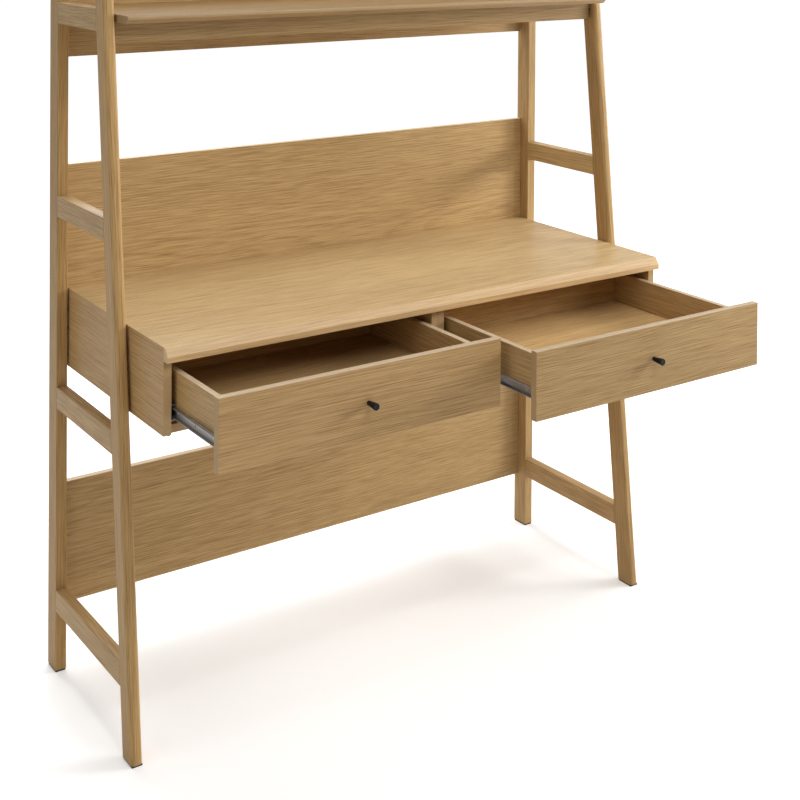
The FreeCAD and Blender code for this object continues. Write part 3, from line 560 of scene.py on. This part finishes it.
# ---------------------------------------------------------------- new pieces
def finished(name, bm, material, body, smooth_angle=35):
    """A new object from a bmesh, which rides on a body."""
    bmesh.ops.recalc_face_normals(bm, faces=bm.faces)
    mesh = bpy.data.meshes.new(name)
    bm.to_mesh(mesh)
    bm.free()
    for polygon in mesh.polygons:
        polygon.use_smooth = True
    mesh.set_sharp_from_angle(angle=math.radians(smooth_angle))
    mesh.materials.append(material)
    piece = bpy.data.objects.new(name, mesh)
    bpy.context.scene.collection.objects.link(piece)
    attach(piece, body)
    return piece


def turned_knob(low, high):
    """A tapered knob that fills the box from low to high, narrow at the drawer's face (high Y)."""
    settings = bpy.context.scene.desk_fittings
    length = high.y - low.y
    end = (high.x - low.x) / 2
    neck = end * KNOB_NECK
    bm = bmesh.new()
    bmesh.ops.create_cone(
        bm, cap_ends=True, segments=settings.segments, radius1=neck, radius2=end, depth=length)
    rim = [edge for edge in bm.edges if all(vert.co.z > 0 for vert in edge.verts)]
    bmesh.ops.bevel(
        bm, geom=rim, offset=settings.knob_rim, segments=5, profile=0.5,
        affect="EDGES", material=-1)
    # The face is slightly dished.
    face = max(bm.faces, key=lambda side: side.calc_center_median().z)
    for share in (0.2, 0.3):
        bmesh.ops.inset_region(bm, faces=[face], thickness=end * share, use_even_offset=True)
    bmesh.ops.translate(bm, verts=face.verts, vec=(0, 0, -KNOB_DISH))
    place = Matrix.Translation((low + high) / 2) @ Matrix.Rotation(math.radians(90), 4, "X")
    bmesh.ops.transform(bm, matrix=place, verts=bm.verts)
    return bm


def loose_parts(name):
    """The corner points of each separate solid in a node."""
    bm = bmesh.new()
    bm.from_mesh(NODES[name].data)
    bmesh.ops.remove_doubles(bm, verts=bm.verts, dist=SAME_POINT)
    waiting = set(bm.verts)
    parts = []
    for start in bm.verts:
        if start not in waiting:
            continue
        waiting.remove(start)
        reached = [start]
        for vert in reached:
            for edge in vert.link_edges:
                other = edge.other_vert(vert)
                if other in waiting:
                    waiting.remove(other)
                    reached.append(other)
        parts.append([vert.co.copy() for vert in reached])
    bm.free()
    return parts


def corners(points):
    """The lowest and highest corner of the box round some points."""
    return [
        Vector([pick(point[axis] for point in points) for axis in range(3)])
        for pick in (min, max)]


def head_way(points):
    """The way that a long fastener's head faces: along its length, towards its wider end."""
    low, high = corners(points)
    middle = (low + high) / 2
    along = max(range(3), key=lambda axis: high[axis] - low[axis])

    def spread(level):
        """How far an end's points lie from the middle, on average."""
        end = [point for point in points if abs(point[along] - level) < SAME_LEVEL]
        return sum((point - middle).length for point in end) / len(end)

    way = Vector((0, 0, 0))
    way[along] = 1 if spread(high[along]) > spread(low[along]) else -1
    return way


def turned(profile, closed=False):
    """A bmesh of (radius, height) points spun round the Z axis."""
    bm = bmesh.new()
    verts = [bm.verts.new((radius, 0, height)) for radius, height in profile]
    pairs = list(zip(verts, verts[1:] + verts[:1] if closed else verts[1:]))
    edges = [bm.edges.new(pair) for pair in pairs]
    bmesh.ops.spin(
        bm, geom=verts + edges, axis=(0, 0, 1), cent=(0, 0, 0), angle=math.tau,
        steps=bpy.context.scene.desk_fittings.small_segments, use_merge=True)
    bmesh.ops.remove_doubles(bm, verts=bm.verts, dist=SPIN_SEAM)
    return bm


def sink(bm, floor, depth):
    """Raises a recess's walls from its floor to the open face of a head, and closes the face."""
    rim = {edge for face in floor for edge in face.edges if edge.is_boundary}
    raised = bmesh.ops.extrude_edge_only(bm, edges=list(rim))["geom"]
    top = [item for item in raised if isinstance(item, bmesh.types.BMVert)]
    bmesh.ops.translate(bm, verts=top, vec=(0, 0, depth))
    gap = [edge for edge in bm.edges if edge.is_boundary]
    bmesh.ops.triangle_fill(bm, edges=gap, use_beauty=True)


def cross_recess(bm, reach, width, depth):
    """Closes an open head with a recess for a cross-point driver."""
    grid = bmesh.ops.create_grid(
        bm, x_segments=3, y_segments=3, size=reach,
        matrix=Matrix.Translation((0, 0, -depth)))["verts"]
    for axis in range(2):
        # The grid's inner lines move from a third of the reach to half the width.
        inner = [vert for vert in grid if abs(vert.co[axis]) < reach / 2]
        narrow = Vector((1, 1, 1))
        narrow[axis] = 1.5 * width / reach
        bmesh.ops.scale(bm, verts=inner, vec=narrow)
    floor = {face for vert in grid for face in vert.link_faces}
    outer = [face for face in floor if min(map(abs, face.calc_center_median().xy)) > width / 2]
    bmesh.ops.delete(bm, geom=outer, context="FACES")
    sink(bm, [face for face in floor if face.is_valid], depth)


def hexagon_recess(bm, radius, depth):
    """Closes an open head with a recess for a hexagon key."""
    ring = bmesh.ops.create_circle(
        bm, cap_ends=True, segments=6, radius=radius, matrix=Matrix.Translation((0, 0, -depth)))
    sink(bm, ring["verts"][0].link_faces, depth)


def screw(sizes):
    """A screw with its face at the origin, facing up."""
    length, head = max(sizes), sorted(sizes)[1] / 2
    height = KNOB_SCREW_HEAD if length > KNOB_SCREW_LENGTH else SLIDE_SCREW_HEAD
    shank = 0.46 * head
    bm = turned((
        (0.72 * head, 0), (0.92 * head, -0.2 * height), (head, -0.7 * height), (head, -height),
        (shank, -height), (shank, 1.5 * shank - length), (0, -length)))
    cross_recess(bm, 0.42 * head, 0.14 * head, 0.35 * head)
    return bm


def bolt(sizes):
    """A bolt with its face at the origin, facing up."""
    length, head = max(sizes), sorted(sizes)[1] / 2
    shank = head / 2
    bm = turned((
        (0.84 * head, 0), (0.95 * head, -0.05 * head), (head, -0.16 * head),
        (head, 0.08 * head - BOLT_HEAD), (0.95 * head, -BOLT_HEAD), (shank, -BOLT_HEAD),
        (shank, 0.3 * shank - length), (0.75 * shank, -length), (0, -length)))
    hexagon_recess(bm, 0.42 * head, 0.6 * BOLT_HEAD)
    return bm


def cam(sizes):
    """A cam disc with its face at the origin, facing up."""
    height, radius = min(sizes), max(sizes) / 2
    bm = turned((
        (0.82 * radius, -CAM_DISH), (0.86 * radius, 0), (0.95 * radius, 0), (radius, -CAM_BEVEL),
        (radius, CAM_BEVEL - height), (0.95 * radius, -height), (0, -height)))
    # The recess is made in a head whose open face lies at height 0.
    bmesh.ops.translate(bm, verts=bm.verts, vec=(0, 0, CAM_DISH))
    cross_recess(bm, 0.55 * radius, 0.2 * radius, CAM_RECESS)
    bmesh.ops.translate(bm, verts=bm.verts, vec=(0, 0, -CAM_DISH))
    return bm


def spacer(sizes):
    """A round washer with its face at the origin, facing up."""
    height, outer = min(sizes), max(sizes) / 2
    bore, rim = SPACER_BORE / 2, SPACER_RIM
    return turned((
        (bore, 0), (outer - rim, 0), (outer, -rim), (outer, rim - height),
        (outer - rim, -height), (bore, -height)), closed=True)


def cap(sizes):
    """A domed cap with its crown at the origin, facing up."""
    height, radius = min(sizes), max(sizes) / 2
    return turned((
        (0, 0), (0.5 * radius, -0.05 * height), (0.85 * radius, -0.2 * height),
        (radius, -0.45 * height), (radius, -height), (0, -height)))


def gathered(node, make, way=None):
    """A bmesh that has a made piece in place of each loose part of a node."""
    whole = bmesh.new()
    for points in loose_parts(node):
        low, high = corners(points)
        facing = way or head_way(points)
        face = (low + high) / 2 + facing * abs((high - low).dot(facing)) / 2
        bm = make(high - low)
        place = Matrix.Translation(face) @ facing.to_track_quat("Z", "Y").to_matrix().to_4x4()
        bmesh.ops.transform(bm, matrix=place, verts=bm.verts)
        part = bpy.data.meshes.new("part")
        bm.to_mesh(part)
        bm.free()
        whole.from_mesh(part)
        bpy.data.meshes.remove(part)
    return whole


# ---------------------------------------------------------------- operators
class DESK_OT_studio(bpy.types.Operator):
    """Sets up the floor, the lamps and the camera"""
    bl_idname = "desk.studio"
    bl_label = "Studio"

    def execute(self, context):
        scene = context.scene
        settings = scene.desk_studio
        self.floor(settings)
        for name, place, size in LAMPS:
            self.lamp(name, Vector(place), size, getattr(settings, name))
        self.surroundings(scene, settings)
        self.camera(scene)
        scene.view_settings.view_transform = "Standard"
        return {"FINISHED"}

    @staticmethod
    def floor(settings):
        """A floor that keeps shadows, and is lifted to white where it is seen directly."""
        bm = bmesh.new()
        bmesh.ops.create_grid(bm, x_segments=1, y_segments=1, size=FLOOR_REACH)
        mesh = bpy.data.meshes.new("studio floor")
        bm.to_mesh(mesh)
        bm.free()
        piece = bpy.data.objects.new("studio floor", mesh)
        bpy.context.scene.collection.objects.link(piece)
        material = bpy.data.materials.new("white floor")
        tree = empty_tree(material)
        place = tree.nodes.new("ShaderNodeTexCoord").outputs["Object"]
        lift = ramp(
            tree, magnitude(tree, place), NEAR_FLOOR, FAR_FLOOR,
            settings.near_lift, settings.far_lift)
        lift = calc(tree, "MULTIPLY", seen_directly(tree), lift)
        matt = put(tree, "ShaderNodeBsdfDiffuse", {"Color": opaque([FLOOR_GREY] * 3)})
        glow = put(tree, "ShaderNodeEmission", {"Color": (1, 1, 1, 1), "Strength": lift})
        both = put(tree, "ShaderNodeAddShader", {0: matt.outputs[0], 1: glow.outputs[0]})
        put(tree, "ShaderNodeOutputMaterial", {0: both.outputs[0]})
        mesh.materials.append(material)

    @staticmethod
    def lamp(name, place, size, power):
        """A square soft lamp that faces the desk."""
        data = bpy.data.lights.new(name, "AREA")
        data.shape = "SQUARE"
        data.size = size
        data.energy = power
        light = bpy.data.objects.new(name, data)
        bpy.context.scene.collection.objects.link(light)
        light.location = place
        light.rotation_euler = (Vector(LAMP_AIM) - place).to_track_quat("-Z", "Y").to_euler()
        light.visible_camera = False

    @staticmethod
    def surroundings(scene, settings):
        """White where they are seen directly, and faint as a light."""
        scene.world = bpy.data.worlds.new("white studio")
        tree = empty_tree(scene.world)
        seen = seen_directly(tree)
        lit = calc(tree, "MULTIPLY", calc(tree, "SUBTRACT", 1.0, seen), settings.sky)
        strength = calc(tree, "ADD", seen, lit)
        sky = put(tree, "ShaderNodeBackground", {"Color": (1, 1, 1, 1), "Strength": strength})
        put(tree, "ShaderNodeOutputWorld", {0: sky.outputs[0]})

    @staticmethod
    def camera(scene):
        """Level view from the left front, with the lens shifted down to the desk."""
        level = math.cos(CAMERA_DIP)
        forward = Vector((
            math.sin(CAMERA_TURN) * level, math.cos(CAMERA_TURN) * level, -math.sin(CAMERA_DIP)))
        right = Vector((math.cos(CAMERA_TURN), -math.sin(CAMERA_TURN), 0))
        up = right.cross(forward)
        across = math.cos(CAMERA_ROLL) * right + math.sin(CAMERA_ROLL) * up
        upward = -math.sin(CAMERA_ROLL) * right + math.cos(CAMERA_ROLL) * up
        data = bpy.data.cameras.new("camera")
        data.sensor_width = SENSOR_WIDTH
        data.lens = FOCAL_LENGTH * SENSOR_WIDTH / IMAGE_SIZE
        data.shift_x = (IMAGE_SIZE / 2 - OPTICAL_CENTRE[0]) / IMAGE_SIZE
        data.shift_y = (OPTICAL_CENTRE[1] - IMAGE_SIZE / 2) / IMAGE_SIZE
        camera = bpy.data.objects.new("camera", data)
        scene.collection.objects.link(camera)
        axes = Matrix((across, upward, -forward)).transposed().to_4x4()
        camera.matrix_world = Matrix.Translation(CAMERA_PLACE) @ axes
        scene.camera = camera


class DESK_OT_boards(bpy.types.Operator):
    """Gives every leg, rail, board and panel its own cut of oak"""
    bl_idname = "desk.boards"
    bl_label = "Oak boards"

    def execute(self, context):
        for boards in (FRAME_BOARDS, CASE_BOARDS, DRAWER_BOARDS):
            for name, grain in boards.items():
                dress([name], oak_material(name, grain))
        return {"FINISHED"}


class DESK_OT_slides(bpy.types.Operator):
    """Plates the drawer slides and their cages, and sets round balls in them"""
    bl_idname = "desk.slides"
    bl_label = "Drawer slides"

    def execute(self, context):
        members = [
            "%s_%s_slide_%s" % (drawer, side, member)
            for drawer in DRAWERS for side in SIDES for member in ("outer", "inner")]
        cages = [drawer + "_ball_cages" for drawer in DRAWERS]
        dress(members + cages, slide_steel())
        for drawer in DRAWERS:
            self.balls(drawer, context.scene.desk_fittings)
        return {"FINISHED"}

    @staticmethod
    def balls(drawer, settings):
        """Two rows of balls in each cage, on its side towards the drawer."""
        radius = settings.ball / 2
        inset = radius * CAGED_BALL
        middle = sum(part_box(drawer + "_bottom"), Vector()) / 2
        bm = bmesh.new()
        for points in loose_parts(drawer + "_ball_cages"):
            low, high = corners(points)
            x = high.x - inset if (low.x + high.x) / 2 < middle.x else low.x + inset
            pitch = (high.y - low.y - 2 * settings.ball_inset) / (settings.balls_in_row - 1)
            for z in (low.z + inset, high.z - inset):
                for index in range(settings.balls_in_row):
                    y = low.y + settings.ball_inset + index * pitch
                    bmesh.ops.create_icosphere(
                        bm, subdivisions=3, radius=radius, matrix=Matrix.Translation((x, y, z)))
        body = drawer.replace("drawer", "ball_cages")
        finished(drawer + "_slide_balls", bm, fastener_steel(), body, 180)


class DESK_OT_fittings(bpy.types.Operator):
    """Turns the screws, bolts, cams, spacers and caps, and finishes the rest"""
    bl_idname = "desk.fittings"
    bl_label = "Fittings"

    def execute(self, context):
        dress(["leg_glides"], plastic())
        dress(["cam_dowels"], fastener_steel())
        self.fit("desk_bolts", bolt)
        self.fit("cam_discs", cam, Vector((0, 1, 0)))
        self.fit("cabinet_slide_screws", screw)
        for drawer in DRAWERS:
            self.fit(drawer + "_screws", screw, body=drawer)
        # The spacers are black plastic. This is partly their own colour and partly painted shade,
        # so that the gaps they fill look dark.
        self.fit("frame_spacers", spacer, Vector((1, 0, 0)), "black_plastic")
        self.fit("desk_base_caps", cap, Vector((0, 0, -1)), "black_plastic")
        return {"FINISHED"}

    @staticmethod
    def fit(node, make, way=None, slot="fastener_steel", body="frame"):
        """Puts turned pieces in place of a node's plain ones."""
        material = plastic() if slot == "black_plastic" else fastener_steel()
        piece = finished("turned_" + node, gathered(node, make, way), material, body)
        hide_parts(node)


class DESK_OT_knobs(bpy.types.Operator):
    """Turns the two black knobs"""
    bl_idname = "desk.knobs"
    bl_label = "Knobs"

    def execute(self, context):
        for drawer in DRAWERS:
            bm = turned_knob(*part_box(drawer + "_knob"))
            piece = finished(drawer + "_turned_knob", bm, lacquer(), drawer)
            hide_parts(drawer + "_knob")
        return {"FINISHED"}


STEPS = (DESK_OT_studio, DESK_OT_boards, DESK_OT_slides, DESK_OT_fittings, DESK_OT_knobs)
SETTINGS = {
    "desk_oak": OakSettings, "desk_fittings": FittingSettings, "desk_studio": StudioSettings}


class DESK_PT_panel(bpy.types.Panel):
    """Lists the steps that dress the desk, and their settings"""
    bl_idname = "DESK_PT_panel"
    bl_label = "Ladder desk"
    bl_space_type = "VIEW_3D"
    bl_region_type = "UI"
    bl_category = "Ladder desk"

    def draw(self, context):
        for step in STEPS:
            self.layout.operator(step.bl_idname)
        for group in SETTINGS:
            settings = getattr(context.scene, group)
            column = self.layout.box().column()
            for name in settings.__annotations__:
                column.prop(settings, name)


def register():
    for made in (*SETTINGS.values(), *STEPS, DESK_PT_panel):
        bpy.utils.register_class(made)
    for name, group in SETTINGS.items():
        setattr(bpy.types.Scene, name, PointerProperty(type=group))


def unregister():
    for name in SETTINGS:
        delattr(bpy.types.Scene, name)
    for made in reversed((*SETTINGS.values(), *STEPS, DESK_PT_panel)):
        bpy.utils.unregister_class(made)


def main():
    register()
    bpy.ops.desk.studio()
    bpy.ops.desk.boards()
    bpy.ops.desk.slides()
    bpy.ops.desk.fittings()
    bpy.ops.desk.knobs()


if __name__ == "__main__":
    main()
